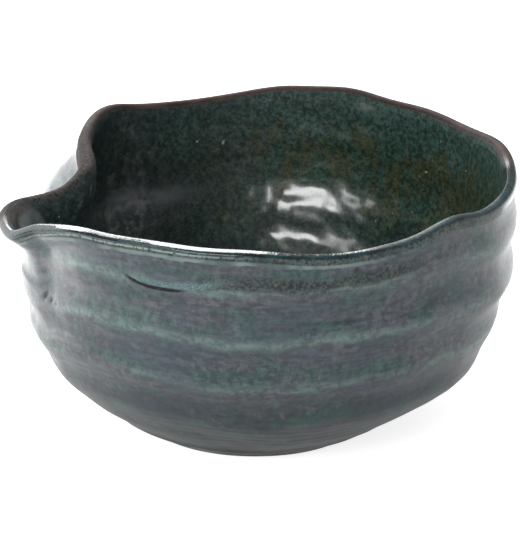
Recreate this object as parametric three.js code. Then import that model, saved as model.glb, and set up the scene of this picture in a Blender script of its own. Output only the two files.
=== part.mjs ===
// Spouted serving bowl: a thrown stoneware bowl with one pulled lip, a low foot ring and three glaze coats.
// Millimetres. +Z is up, the foot stands on Z = 0 and the spout points along -X.
import * as THREE from 'three';
import { ParametricGeometry } from 'three/addons/geometries/ParametricGeometry.js';

// The round bowl. Radii and heights are those of the finished, glazed skin.
const mouthRadius = 75.5;
const rimHeight = 77.6;
const bellyTuck = 2.6;
const bellyHeight = 60;
const mouthSpring = 1.5;
const wallThickness = 5.2;
const lipThickness = 4;
const lipThinning = 28;
const wallFullness = 2.18;
const wallRoundness = 1.44;
const bodyShift = 0.6;
const bodyShiftTop = 73;
const bodyShiftFade = 20;

// Coats of glaze, each held off its neighbours by the same gap.
const glazeThickness = 0.6;
const gap = 0.3;
const rimBand = 1.6;
const bareFootLine = 0.9;

// The foot ring, set a little towards the spout.
const footHeight = 3.2;
const footBottomRadius = 35.2;
const footLean = 1.6;
const footWidth = 7.2;
const footEdge = 0.45;
const footStep = 1.4;
const footShift = 3;
const footShiftFade = 16;
const undersideMargin = 0.6;

// The wall is turned a little hollow just above the foot.
const trimDepth = 1.5;
const trimRise = 4.2;
const trimSpread = 3.9;

// The floor inside: its clay, and where the wall turns into it.
const floorThickness = 4.6;
const floorRise = 4.8;
const floorCurve = 5.5;

// Throwing ridges that wind slowly up the wall.
const ridgePitch = 15.2;
const ridgeDepth = 0.62;
const ridgeBias = -0.18;
const ridgeStart = 20.4;
const ridgeTurn = -0.37;
const ridgeFootFade = 11;
const ridgeRimMargin = 3;
const ridgeRimFade = 7;

// The pulled lip flares near the rim. The pinch beside it reaches far down the wall, but on its flank, away
// from the lip, it only folds the rim in, and the wall swells out again below.
const flareReach = 6;
const flareDepth = 11;
const flareEnd = 4;
const flareSpread = 21;
const flareTurn = 3.4;
const flareSquareness = 3;
const pinchDepth = 48;
const pinchMargin = 4;
const pinchFade = 1.5;
const flankDepth = 21;
const flankMargin = 0.6;
const flankTurn = -38.5;
const flankEnd = -20;
const pinchTurn = -27;
const pinchSpread = 16;
const pinchThickening = 1.6;
const pinchThickDepth = 32;
const spoutReach = 4.2;
const spoutDrop = 9.6;
const pinchPull = 14.1;
const pinchPush = 16.3;

// How the rim leaves the plain round at the spout: turn in degrees, the nearer side positive, then the
// shares of the spout's reach and drop, and of the pinch's pull inwards and push across to the nearer side.
const spoutRim = [
  { turn: -68, reach: 0, drop: 0, pull: 0, push: 0 },
  { turn: -56, reach: 0, drop: 0.04, pull: 0.09, push: 0.14 },
  { turn: -43, reach: 0, drop: -0.09, pull: 0.45, push: 0.64 },
  { turn: -27, reach: 0, drop: 0.08, pull: 1, push: 1 },
  { turn: -20, reach: 0, drop: 0.54, pull: 0.87, push: 0.77 },
  { turn: -13, reach: 0, drop: 0.81, pull: 0.29, push: 0.15 },
  { turn: -7, reach: 0.36, drop: 0.92, pull: 0, push: -0.02 },
  { turn: 0, reach: 0.98, drop: 0.97, pull: 0, push: 0 },
  { turn: 9, reach: 1, drop: 1, pull: 0, push: 0.09 },
  { turn: 18, reach: 0.19, drop: 0.48, pull: 0, push: 0.02 },
  { turn: 35, reach: 0, drop: 0, pull: 0, push: 0 },
];

// Slow rises and dips of the hand-thrown rim: where, how wide, and what share of the highest wave.
const rimWave = 3;
const rimWaves = [
  { turn: -60, spread: 9, rise: 0.8 },
  { turn: -84, spread: 12, rise: -0.33 },
  { turn: -110, spread: 11, rise: 0.8 },
  { turn: -126, spread: 10, rise: 1 },
  { turn: -146, spread: 12, rise: 0.47 },
  { turn: 180, spread: 12, rise: 0.67 },
  { turn: 122, spread: 9, rise: 0.93 },
  { turn: 93, spread: 11, rise: -0.3 },
  { turn: 72, spread: 9, rise: 0.27 },
  { turn: 52, spread: 14, rise: 0.4 },
];

// Facets: rings up the section, and turns round the bowl, closer together at the spout.
const turns = 56;
const turnCrowding = 0.42;
const crowdedTurn = -12;
const outsideSteps = 18;
const lipSteps = 5;
const insideSteps = 9;
const floorSteps = 4;
const footTurns = 48;

const radians = THREE.MathUtils.degToRad;
const smooth = THREE.MathUtils.smoothstep;
const bellyRadius = mouthRadius - bellyTuck;
const footTopRadius = footBottomRadius + footLean;
const wallBaseRadius = footTopRadius + footStep;
const undersideHeight = footHeight + gap;
const floorHeight = undersideHeight + floorThickness;
const floorJoin = footHeight + floorRise;
const springHeight = rimHeight - lipThickness / 2;
const coatInset = glazeThickness + gap;

// The angle brought into one turn, from minus half a turn to plus half a turn.
function wrapped(angle) {
  return THREE.MathUtils.euclideanModulo(angle + Math.PI, 2 * Math.PI) - Math.PI;
}

// A smooth hump of height one, centred on a turn given in degrees.
function hump(turn, centre, spread) {
  return Math.exp(-1 * (wrapped(turn - radians(centre)) / radians(spread)) ** 2);
}

function wavyRim(turn) {
  const waves = rimWaves.reduce((sum, { turn: at, spread, rise }) => sum + rise * hump(turn, at, spread), 0);
  return rimHeight + rimWave * waves;
}

// The rim's moves at the controls, out along the spout, across it and up, and how fast each move changes
// there, level at both ends.
const controlTurns = spoutRim.map((control) => radians(control.turn));
const controlMoves = spoutRim.map(({ reach, drop, pull, push }) => new THREE.Vector3(
  spoutReach * reach - pinchPull * pull,
  pinchPush * push,
  -spoutDrop * drop,
));
const controlSlopes = controlMoves.map((move, index) => {
  const before = Math.max(index - 1, 0);
  const next = Math.min(index + 1, controlMoves.length - 1);
  const settled = next - before < 2;
  const width = controlTurns[next] - controlTurns[before];
  return controlMoves[next].clone().sub(controlMoves[before]).multiplyScalar(settled ? 0 : 1 / width);
});

// Smooth move of the rim at any turn, a cubic between neighbouring controls.
function rimMove(angle) {
  const turn = wrapped(angle);
  const last = controlTurns.length - 1;
  if (turn <= controlTurns[0] || turn >= controlTurns[last]) {
    return new THREE.Vector3();
  }
  const next = controlTurns.findIndex((control) => control > turn);
  const before = next - 1;
  const width = controlTurns[next] - controlTurns[before];
  const part = (turn - controlTurns[before]) / width;
  const rise = part * part * (3 - 2 * part);
  return new THREE.Vector3()
    .addScaledVector(controlMoves[before], 1 - rise)
    .addScaledVector(controlMoves[next], rise)
    .addScaledVector(controlSlopes[before], width * part * (1 - part) ** 2)
    .addScaledVector(controlSlopes[next], -width * part * part * (1 - part));
}

// Radius of the plain round wall at a height.
function wallRadius(height) {
  const low = THREE.MathUtils.clamp((height - footHeight) / (bellyHeight - footHeight), 0, 1);
  const high = Math.max((height - bellyHeight) / (rimHeight - bellyHeight), 0);
  const bulge = (1 - (1 - low) ** wallFullness) ** (1 / wallRoundness);
  const opening = (mouthRadius - bellyRadius) * high ** mouthSpring;
  const trim = trimDepth * Math.exp(-1 * ((height - footHeight - trimRise) / trimSpread) ** 2);
  return wallBaseRadius + (bellyRadius - wallBaseRadius) * bulge + opening - trim;
}

// Height of the throwing ridges above the plain wall.
function ridge(turn, height) {
  const phase = 2 * Math.PI * (height - ridgeStart) / ridgePitch + ridgeTurn * Math.cos(turn);
  const foot = smooth(height, footHeight, footHeight + ridgeFootFade);
  const top = rimHeight - ridgeRimMargin;
  return ridgeDepth * (Math.cos(phase) - ridgeBias) * foot * (1 - smooth(height, top - ridgeRimFade, top));
}

// Distance that the middle of the bowl lies towards the spout at a height.
function centreShift(height) {
  const foot = (footShift + bodyShift) * (1 - smooth(height, 0, footShiftFade));
  return foot - bodyShift * (1 - smooth(height, bodyShiftTop - bodyShiftFade, bodyShiftTop));
}

// Share of the rim's move that the wall below it follows, at the spout and pinch and on the pinch's flank.
function followed(turn, height) {
  const deep = smooth(height, rimHeight - pinchDepth, rimHeight - pinchMargin) ** pinchFade;
  const flankTop = rimHeight - flankMargin;
  const flankShare = (at) => smooth(at, rimHeight - flankDepth, flankTop);
  const onFlank = 1 - smooth(wrapped(turn), radians(flankTurn), radians(flankEnd));
  return deep + (Math.min(flankShare(height) / flankShare(springHeight), 1) - deep) * onFlank;
}

// Outside skin at a turn and at a height measured on a rim of even height.
function outside(turn, height) {
  const move = rimMove(turn);
  const offCentre = Math.abs(wrapped(turn) - radians(flareTurn)) / radians(flareSpread);
  const flare = flareReach * Math.exp(-1 * offCentre ** flareSquareness);
  const flareFrom = rimHeight - flareDepth;
  const flareTop = rimHeight + flareEnd;
  const flared = smooth(height, flareFrom, flareTop) / smooth(springHeight, flareFrom, flareTop);
  const pinched = followed(turn, height);
  const radius = wallRadius(height) + ridge(turn, height) + flare * flared;
  const along = radius * Math.cos(turn) + (move.x - flare * Math.cos(turn)) * pinched + centreShift(height);
  const across = radius * Math.sin(turn) + (move.y - flare * Math.sin(turn)) * pinched;
  const crest = wavyRim(turn) + move.z - lipThickness / 2;
  const rise = (height - footHeight) * (crest - footHeight) / (springHeight - footHeight);
  return new THREE.Vector3(-along, -across, footHeight + rise);
}

// Directions of the outside skin: out of the wall and up along it.
function directions(turn, height) {
  const step = 1e-4;
  const low = Math.max(height - step, footHeight);
  const round = outside(turn + step, height).sub(outside(turn - step, height));
  const up = outside(turn, height + step).sub(outside(turn, low)).normalize();
  const out = round.cross(up).normalize();
  return { out, up };
}

// Thickness of the glazed wall, least at the lip and greatest at the pinch.
function thickness(turn, height) {
  const thinned = (wallThickness - lipThickness) * smooth(height, springHeight - lipThinning, springHeight);
  const pinchTop = rimHeight - pinchMargin;
  const pinched = hump(turn, pinchTurn, pinchSpread) * smooth(height, pinchTop - pinchThickDepth, pinchTop);
  return wallThickness - thinned + pinchThickening * pinched;
}

// Point at a depth inside the wall, measured square to its outside skin.
function inWall(turn, height, depth) {
  const { out } = directions(turn, height);
  return outside(turn, height).addScaledVector(out, -depth);
}

// Point on the rounded lip, swung from the outside (0) over the top to the inside (half a turn).
function onLip(turn, swing, inset) {
  const { out, up } = directions(turn, springHeight);
  const half = thickness(turn, springHeight) / 2;
  return outside(turn, springHeight)
    .addScaledVector(out, -half)
    .addScaledVector(out, (half - inset) * Math.cos(swing))
    .addScaledVector(up, (half - inset) * Math.sin(swing));
}

// Point on the bowl's floor: part 1 is the foot of the wall, part 0 the middle of the floor.
function onFloor(turn, part, inset) {
  const edge = inWall(turn, floorJoin, thickness(turn, floorJoin) - inset);
  const middle = new THREE.Vector3(-centreShift(floorJoin), 0, floorHeight - inset);
  return new THREE.Vector3(
    middle.x + (edge.x - middle.x) * part,
    edge.y * part,
    middle.z + (edge.z - middle.z) * part ** floorCurve,
  );
}

// Stations along the section, from the foot of the outside wall to the middle of the floor.
const outsideWall = (height, inset) => (turn) => inWall(turn, height, inset);
const lip = (swing, inset) => (turn) => onLip(turn, swing, inset);
const insideWall = (height, inset) => (turn) => inWall(turn, height, thickness(turn, height) - inset);
const floor = (part, inset) => (turn) => onFloor(turn, part, inset);

// Even steps from one value to another, both ends included.
function steps(from, to, count) {
  return Array.from({ length: count + 1 }, (_, index) => from + (to - from) * index / count);
}

// A closed skin through rings that follow one another round the section. Where the section comes back
// along a face that it has already passed, from one ring to another, each facet is cut along its other
// diagonal, so that the two faces stay evenly apart.
function loft(rings, backFrom = 0, backTo = 0) {
  const follow = (u, v, target) => {
    const even = 2 * Math.PI * u - Math.PI;
    const turn = even - turnCrowding * Math.sin(even - radians(crowdedTurn));
    const place = v * (rings.length - 1);
    const index = Math.min(Math.floor(place + 1e-9), rings.length - 2);
    target.copy(rings[index](turn)).lerp(rings[index + 1](turn), place - index);
  };
  const geometry = new ParametricGeometry(follow, turns, rings.length - 1);
  for (let row = backFrom; row < backTo; row += 1) {
    for (let column = 0; column < turns; column += 1) {
      const low = row * (turns + 1) + column;
      const high = low + turns + 1;
      const corners = [low, low + 1, high + 1, low, high + 1, high];
      corners.forEach((corner, index) => geometry.index.setX(6 * (row * turns + column) + index, corner));
    }
  }
  return geometry;
}

// A coat follows its stations on the finished skin and comes back one glaze thickness deeper.
function coat(stations) {
  const face = stations.map((station) => station(0));
  const back = stations.map((station) => station(glazeThickness)).reverse();
  return loft([...face, ...back, face[0]], face.length, face.length + back.length - 1);
}

function finish(name, colour, roughness) {
  return new THREE.MeshStandardMaterial({ name, color: colour, roughness, metalness: 0 });
}

const clay = finish('stoneware_clay', 0x6d6257, 0.85);
const footClay = finish('foot_clay', 0x5f564d, 0.9);
const outsideFinish = finish('outside_glaze', 0x4d5a5c, 0.4);
const insideFinish = finish('inside_glaze', 0x17312f, 0.15);
const rimFinish = finish('iron_rim_glaze', 0x4a3c34, 0.3);

const bowl = new THREE.Group();
bowl.name = 'spouted_bowl';

// Stations shared by the clay and by the coats that lie on it.
const bandFoot = springHeight - rimBand;
const outsideHeights = steps(footHeight + bareFootLine, bandFoot - gap, outsideSteps);
const lipSwings = steps(0, Math.PI, lipSteps);
const insideHeights = steps(bandFoot - gap, floorJoin, insideSteps);
const floorParts = steps(1, 0, floorSteps).slice(1);

// Clay body: underside, outside wall, lip, inside wall and floor in one skin.
const underside = (radius) => (turn) => new THREE.Vector3(
  -radius * Math.cos(turn) - footShift,
  -radius * Math.sin(turn),
  undersideHeight,
);
const clayRings = [
  underside(0),
  underside(footTopRadius - undersideMargin),
  ...outsideHeights.map((height) => outsideWall(height, coatInset)),
  outsideWall(bandFoot, coatInset),
  ...lipSwings.map((swing) => lip(swing, coatInset)),
  insideWall(bandFoot, coatInset),
  ...insideHeights.map((height) => insideWall(height, coatInset)),
  ...floorParts.map((part) => floor(part, coatInset)),
];
const clayBowl = new THREE.Mesh(loft(clayRings), clay);
clayBowl.name = 'clay_bowl';
bowl.add(clayBowl);

// Foot ring: a low turned ring under the bowl, its outer side leaning out to meet the wall.
const footInnerRadius = footBottomRadius - footWidth;
const footSection = [
  [footInnerRadius + footEdge, 0],
  [footBottomRadius - footEdge, 0],
  [footBottomRadius, footEdge],
  [footTopRadius, footHeight],
  [footInnerRadius, footHeight],
  [footInnerRadius, footEdge],
  [footInnerRadius + footEdge, 0],
].map(([radius, height]) => new THREE.Vector2(radius, height));
const footGeometry = new THREE.LatheGeometry(footSection, footTurns);
footGeometry.rotateX(Math.PI / 2);
footGeometry.translate(-footShift, 0, 0);
const footRing = new THREE.Mesh(footGeometry, footClay);
footRing.name = 'foot_ring';
bowl.add(footRing);

// Outside glaze: from just above the foot ring to the rim band.
const outsideStations = outsideHeights.map((height) => (inset) => outsideWall(height, inset));
const outsideGlaze = new THREE.Mesh(coat(outsideStations), outsideFinish);
outsideGlaze.name = 'outside_glaze';
bowl.add(outsideGlaze);

// Rim band: iron glaze over the lip, from the outside wall to the inside wall.
const rimStations = [
  (inset) => outsideWall(bandFoot, inset),
  ...lipSwings.map((swing) => (inset) => lip(swing, inset)),
  (inset) => insideWall(bandFoot, inset),
];
const rimGlaze = new THREE.Mesh(coat(rimStations), rimFinish);
rimGlaze.name = 'rim_glaze';
bowl.add(rimGlaze);

// Inside glaze: from the rim band down over the whole floor, as a closed dish.
const insideStations = [
  ...insideHeights.map((height) => (inset) => insideWall(height, inset)),
  ...floorParts.map((part) => (inset) => floor(part, inset)),
];
const dishBack = insideStations.map((station) => station(glazeThickness)).reverse();
const dishFace = insideStations.map((station) => station(0));
const insideGlaze = new THREE.Mesh(loft([...dishBack, ...dishFace], 0, dishBack.length - 1), insideFinish);
insideGlaze.name = 'inside_glaze';
bowl.add(insideGlaze);

// The frame's origin is below the middle of the whole bowl.
const extent = new THREE.Box3().setFromObject(bowl);
const middle = extent.getCenter(new THREE.Vector3());
bowl.position.set(-middle.x, -middle.y, 0);

export default bowl;
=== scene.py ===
import bpy
import numpy as np
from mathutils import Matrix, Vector


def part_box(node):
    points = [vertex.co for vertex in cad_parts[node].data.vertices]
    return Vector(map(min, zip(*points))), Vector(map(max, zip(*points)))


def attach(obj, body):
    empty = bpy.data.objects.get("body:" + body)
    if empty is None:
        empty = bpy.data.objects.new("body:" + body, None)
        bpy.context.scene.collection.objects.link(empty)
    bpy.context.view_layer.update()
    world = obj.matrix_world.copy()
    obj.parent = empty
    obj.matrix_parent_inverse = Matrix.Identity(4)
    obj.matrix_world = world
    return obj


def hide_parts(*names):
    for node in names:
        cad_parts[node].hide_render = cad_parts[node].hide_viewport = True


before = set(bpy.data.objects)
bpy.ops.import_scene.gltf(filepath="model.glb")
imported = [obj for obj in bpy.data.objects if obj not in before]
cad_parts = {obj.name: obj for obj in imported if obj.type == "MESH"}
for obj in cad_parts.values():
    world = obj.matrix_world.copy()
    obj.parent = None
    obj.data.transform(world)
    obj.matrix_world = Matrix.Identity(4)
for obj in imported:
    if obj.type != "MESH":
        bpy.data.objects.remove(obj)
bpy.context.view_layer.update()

# Camera: a long lens that looks down on the nearer side of the bowl, with the spout to the left.
# It is aimed a little to the spout's side of the bowl's axis, about half way up the wall.
mm = 0.001
foot_shift = 3 * mm
foot_low, foot_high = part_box("foot_ring")
axis = Vector(((foot_low.x + foot_high.x) / 2 + foot_shift, (foot_low.y + foot_high.y) / 2, 0))
camera_azimuth = -14
camera_elevation = 21
camera_distance = 900 * mm
aim_height = 44.3 * mm
aim_left = 1.2 * mm
picture_height = 164 * mm
film_size = 36


def new_object(name, data):
    """An object in the scene, with its lens, mesh or lamp."""
    made = bpy.data.objects.new(name, data)
    bpy.context.scene.collection.objects.link(made)
    return made


def stand_round(name, data, centre, azimuth, elevation, distance):
    """Stands a camera or a lamp on a sphere round a centre, by degrees round from the front and up from the
    table, and turns it to face that centre."""
    around, over = np.radians(azimuth), np.radians(elevation)
    away = Vector((np.sin(around) * np.cos(over), -np.cos(around) * np.cos(over), np.sin(over)))
    holder = new_object(name, data)
    holder.location = centre + away * distance
    holder.rotation_euler = (-away).to_track_quat("-Z", "Y").to_euler()
    return holder


bowl_middle = axis + Vector((0, 0, aim_height))
camera_right = Vector((np.cos(np.radians(camera_azimuth)), np.sin(np.radians(camera_azimuth)), 0))
aim = bowl_middle - camera_right * aim_left
lens = bpy.data.cameras.new("long_lens")
lens.sensor_width = film_size
lens.lens = film_size * camera_distance / picture_height
camera = stand_round("camera", lens, aim, camera_azimuth, camera_elevation, camera_distance)
bpy.context.scene.camera = camera

# Clay body: one thrown wall of stoneware, drawn up to a wavy lip and pulled out and pinched at the spout.
# The glaze lies on it in three coats, so its own skin follows theirs and shows only at the foot and below.
# Its section is worked out at every turn round the bowl, from the underside over the lip to the floor.
mouth_radius = 75.5 * mm
rim_height = 77.6 * mm
belly_radius = mouth_radius - 2.6 * mm
belly_height = 60 * mm
mouth_spring = 1.5
wall_thickness = 5.2 * mm
lip_thickness = 4 * mm
lip_thinning = 28 * mm
lip_squareness = 0.8
flat_lip = 0.38
flat_lip_turn = 50
flat_lip_spread = 40
lip_inset = 0.12 * mm
spring_height = rim_height - lip_thickness / 2
wall_fullness = 2.18
wall_roundness = 1.44
body_shift = 0.6 * mm
body_shift_top = 73 * mm
body_shift_fade = 20 * mm
foot_height = 3.2 * mm
foot_bottom_radius = 35.2 * mm
foot_top_radius = foot_bottom_radius + 1.6 * mm
wall_base_radius = foot_top_radius + 1.4 * mm
trim_depth = 1.5 * mm
trim_rise = 4.2 * mm
trim_spread = 3.9 * mm
foot_shift_fade = 16 * mm
floor_height = 8.1 * mm
floor_join = 8 * mm
floor_curve = 5.5
ridge_pitch = 15.2 * mm
ridge_depth = 0.62 * mm
ridge_bias = -0.18
ridge_start = 20.4 * mm
ridge_turn = -0.37
# Where the ridges wander from their even climb: turn and spread in degrees, then how far.
ridge_wander = ((70, 11, -1.8 * mm), (98, 14, 1.3 * mm))
# Inside there are no ridges, but one low ring swells above the middle and the wall over it is hollowed.
inner_ring = 0.5 * mm
inner_ring_height = 37.8 * mm
inner_ring_spread = 5 * mm
hollow_depth = 0.92 * mm
hollow_from = (39.8 * mm, 50 * mm)
hollow_to = 64 * mm
# Beyond the spout the inside is creased: depth, size of the pattern, turn and spread, and from what height.
crease_depth = 0.05 * mm
crease_size = 19 * mm
crease_sharpness = 2.5
crease_turn = -80
crease_spread = 30
crease_from = (34 * mm, 44 * mm)
ridge_foot = (foot_height, foot_height + 11 * mm)
ridge_top = (rim_height - 10 * mm, rim_height - 3 * mm)
flare_reach = 6 * mm
flare_from = rim_height - 11 * mm
flare_top = rim_height + 4 * mm
flare_turn = 3.4
flare_spread = 21
pinch_from = rim_height - 48 * mm
pinch_top = rim_height - 4 * mm
pinch_turn = -27
pinch_spread = 16
pinch_thickening = 1.6 * mm
pinch_thick_from = pinch_top - 32 * mm
flank_from = rim_height - 21 * mm
flank_top = rim_height - 0.6 * mm
flank_turns = (-38.5, -20)
spout_reach = 4.2 * mm
spout_drop = 9.6 * mm
pinch_pull = 14.1 * mm
pinch_push = 16.3 * mm
# Turn in degrees, the nearer side positive, then shares of the spout's reach and drop and of the pinch's
# pull inwards and push across.
spout_rim = np.array([
    (-68, 0, 0, 0, 0),
    (-56, 0, 0.04, 0.09, 0.14),
    (-43, 0, -0.09, 0.45, 0.64),
    (-27, 0, 0.08, 1, 1),
    (-20, 0, 0.54, 0.87, 0.77),
    (-13, 0, 0.81, 0.29, 0.15),
    (-7, 0.36, 0.92, 0, -0.02),
    (0, 0.98, 0.97, 0, 0),
    (9, 1, 1, 0, 0.09),
    (18, 0.19, 0.48, 0, 0.02),
    (35, 0, 0, 0, 0),
])
# Turn and spread in degrees, then the share of the highest wave.
rim_wave = 3 * mm
rim_waves = (
    (-60, 9, 0.8), (-84, 12, -0.33), (-110, 11, 0.8), (-126, 10, 1), (-146, 12, 0.47),
    (180, 12, 0.67), (122, 9, 0.93), (93, 11, -0.3), (72, 9, 0.27), (52, 14, 0.4),
)
# The glaze's face lies a hair inside the plain skin, so that its hills stay within it.
face_depth = 0.16 * mm
coat_thickness = 0.6 * mm
clay_depth = face_depth + coat_thickness + 0.15 * mm
# The turns at which the sections stand crowd round the spout and the pinch.
turn_count = 400
turn_crowding = 0.42
crowded_turn = np.radians(-12)


def smooth(value, low, high):
    """Rises from 0 at low to 1 at high, as three squares less two cubes of the share between."""
    share = np.clip((value - low) / (high - low), 0, 1)
    return share * share * (3 - 2 * share)


def between(value, start, end):
    """Rises from 0 to 1 over the start pair and falls back to 0 over the end pair."""
    return smooth(value, *start) * (1 - smooth(value, *end))


def wrapped(angle):
    """The angle brought between minus and plus half a turn."""
    return (angle + np.pi) % (2 * np.pi) - np.pi


def degrees(turn):
    """The turn in degrees, between minus and plus half a turn."""
    return np.degrees(wrapped(turn))


def hump(turn, centre, spread):
    """A bell round the bowl: e to minus the square of the angle from its centre over its spread."""
    return np.exp(-(wrapped(turn - np.radians(centre)) / np.radians(spread)) ** 2)


def rim_move(turn):
    """How far the rim leaves the plain round: along the spout, across it and up. It is a cubic between
    neighbouring controls, with the slope across a control's neighbours as its slope there."""
    at = np.radians(spout_rim[:, 0])
    reach, drop, pull, push = spout_rim[:, 1:].T
    moves = np.stack([spout_reach * reach - pinch_pull * pull, pinch_push * push, -spout_drop * drop], axis=1)
    slopes = np.zeros_like(moves)
    slopes[1:-1] = (moves[2:] - moves[:-2]) / (at[2:] - at[:-2])[:, None]
    angle = wrapped(turn)
    after = np.clip(np.searchsorted(at, angle, side="right"), 1, len(at) - 1)
    before = after - 1
    width = (at[after] - at[before])[..., None]
    part = np.clip((angle - at[before])[..., None] / width, 0, 1)
    rise = part * part * (3 - 2 * part)
    bent = slopes[before] * (1 - part) - slopes[after] * part
    return moves[before] * (1 - rise) + moves[after] * rise + bent * width * part * (1 - part)


def wall_radius(height):
    """Radius of the plain wall: a bulge that grows from the foot to the belly, then a slight opening, less
    the hollow that is turned just above the foot, a bell in height."""
    low = np.clip((height - foot_height) / (belly_height - foot_height), 0, 1)
    high = np.maximum((height - belly_height) / (rim_height - belly_height), 0)
    bulge = (1 - (1 - low) ** wall_fullness) ** (1 / wall_roundness)
    opening = (mouth_radius - belly_radius) * high ** mouth_spring
    trim = trim_depth * np.exp(-((height - foot_height - trim_rise) / trim_spread) ** 2)
    return wall_base_radius + (belly_radius - wall_base_radius) * bulge + opening - trim


def ridge_phase(turn, height):
    """Angle in the ridges' cycle, which climbs once in each pitch and winds slowly round the bowl, less bells
    where the ridges wander."""
    wander = sum(lift * hump(turn, at, spread) for at, spread, lift in ridge_wander)
    return 2 * np.pi * (height - ridge_start - wander) / ridge_pitch + ridge_turn * np.cos(turn)


def ridge(turn, height):
    """Height of the throwing ridges above the plain wall: a cosine of their cycle, fading at foot and rim."""
    waves = np.cos(ridge_phase(turn, height)) - ridge_bias
    return ridge_depth * waves * between(height, ridge_foot, ridge_top)


def followed(turn, height):
    """Share of the rim's move that the wall below follows: far down the wall at the spout and the pinch, but
    on the pinch's flank, away from the spout, only near the rim."""
    deep = smooth(height, pinch_from, pinch_top) ** 1.5
    flank = smooth(height, flank_from, flank_top) / smooth(spring_height, flank_from, flank_top)
    flank = np.minimum(flank, 1)
    on_flank = 1 - smooth(wrapped(turn), np.radians(flank_turns[0]), np.radians(flank_turns[1]))
    return deep + (flank - deep) * on_flank


def centre_shift(height):
    """How far the wall's middle lies from the axis towards the spout: the foot's shift at the bottom, a
    little the other way up the wall, and none at the mouth."""
    foot = (foot_shift + body_shift) * (1 - smooth(height, 0, foot_shift_fade))
    return foot - body_shift * (1 - smooth(height, body_shift_top - body_shift_fade, body_shift_top))


def outside(turn, height, ridged=1):
    """Plain outside skin: the wall's radius, ridges and flare carried round the bowl's middle, with the
    rim's moves fading down the wall and the heights stretched to meet the wavy rim. It has no ridges where
    ridged is 0."""
    turn, height = np.broadcast_arrays(turn, height)
    move = rim_move(turn)
    off_centre = np.abs(wrapped(turn) - np.radians(flare_turn)) / np.radians(flare_spread)
    flare = flare_reach * np.exp(-off_centre ** 3)
    flared = smooth(height, flare_from, flare_top) / smooth(spring_height, flare_from, flare_top)
    pinched = followed(turn, height)
    radius = wall_radius(height) + ridged * ridge(turn, height) + flare * flared
    shift = centre_shift(height)
    along = radius * np.cos(turn) + (move[..., 0] - flare * np.cos(turn)) * pinched + shift
    across = radius * np.sin(turn) + (move[..., 1] - flare * np.sin(turn)) * pinched
    waves = sum(rise * hump(turn, at, spread) for at, spread, rise in rim_waves)
    crest = rim_height + rim_wave * waves + move[..., 2] - lip_thickness / 2
    up = foot_height + (height - foot_height) * (crest - foot_height) / (spring_height - foot_height)
    return np.stack([axis.x - along, axis.y - across, up], axis=-1)


def directions(turn, height, ridged=1):
    """Out of the wall and up along it: unit vectors from small steps round and up the outside skin."""
    step = 1e-4
    below = np.maximum(height - step * mm, foot_height)
    round_bowl = outside(turn + step, height, ridged) - outside(turn - step, height, ridged)
    up = outside(turn, height + step * mm, ridged) - outside(turn, below, ridged)
    up = up / np.linalg.norm(up, axis=-1, keepdims=True)
    out = np.cross(round_bowl, up)
    return out / np.linalg.norm(out, axis=-1, keepdims=True), up


def thickness(turn, height):
    """Thickness of the glazed wall, which thins to the lip and thickens at the pinch."""
    thinned = (wall_thickness - lip_thickness) * smooth(height, spring_height - lip_thinning, spring_height)
    pinched = hump(turn, pinch_turn, pinch_spread) * smooth(height, pinch_thick_from, pinch_top)
    return wall_thickness - thinned + pinch_thickening * pinched


def dapple(points, size, seed, count=28):
    """Soft hills and hollows about one unit high: the sum of seeded waves, each about size long, that run
    through space in every direction."""
    draw = np.random.default_rng(seed)
    headings = draw.normal(size=(count, 3))
    headings /= np.linalg.norm(headings, axis=1, keepdims=True)
    headings *= 2 * np.pi / (size * draw.uniform(0.7, 1.4, (count, 1)))
    starts = draw.uniform(0, 2 * np.pi, count)
    return np.cos(points @ headings.T + starts).sum(axis=-1) / np.sqrt(count)


# Slight swellings of the outside wall: turn in degrees and height, their spreads, and how far out.
wall_swells = (
    (-14, 26 * mm, 26, 9 * mm, 1.9 * mm), (16, 14 * mm, 16, 5 * mm, 1.1 * mm),
    (150, 25 * mm, 24, 8 * mm, 1.7 * mm), (150, 49 * mm, 24, 7 * mm, 1.4 * mm),
    (-14, 5 * mm, 40, 4 * mm, 1.0 * mm), (166, 5 * mm, 40, 4 * mm, 0.5 * mm),
    (-36, 62 * mm, 14, 15 * mm, 2.0 * mm), (0, 58 * mm, 18, 6.5 * mm, 1.8 * mm),
    (75, 4.2 * mm, 70, 1.3 * mm, 0.9 * mm), (148, 65 * mm, 18, 8 * mm, 1.5 * mm),
    (-6, 39.3 * mm, 16, 3.3 * mm, 0.95 * mm), (0, 59 * mm, 14, 3 * mm, 0.85 * mm),
)
# The hand's unevenness: rings that the fingers left, deeper near the foot, and soft hollows outside and
# inside, each with its size and depth. All of it fades out just under the lip.
finger_pitch = 2.3 * mm
finger_depth = 0.03 * mm
finger_deepening = 0.5
finger_deep = (8 * mm, 22 * mm)
outside_hollows = ((22 * mm, 0.09 * mm, 3), (8 * mm, 0.05 * mm, 4))
inside_hollows = ((16 * mm, 0.11 * mm, 5), (6 * mm, 0.085 * mm, 6))
relief_fade = 6 * mm
# Marks of the making on the outside: a fold under the rim in front, with a crack along it, a groove drawn
# down beside the spout, and pits in the groove and in the glaze in front. Turns are in degrees.
fold_turns = (41.5, 62)
fold_height = 64.2 * mm
fold_lowest_turn = 52
fold_rises = (0.05 * mm, 0.012 * mm)
fold_depth = 0.3 * mm
fold_edge = 0.16 * mm
fold_fade = 2.4 * mm
crack_depth = 0.5 * mm
crack_width = 0.5 * mm
crack_widening = 0.7 * mm
crack_wide_turns = (43, 48)
crack_start = (40.5, 49)
crack_end = (54, 61)
groove_top_turn = 8
groove_lean = 0.372
groove_depth = 0.35 * mm
groove_width = 3.2 * mm
groove_foot = (44 * mm, 56 * mm)
groove_top = (70 * mm, 75 * mm)
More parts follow.
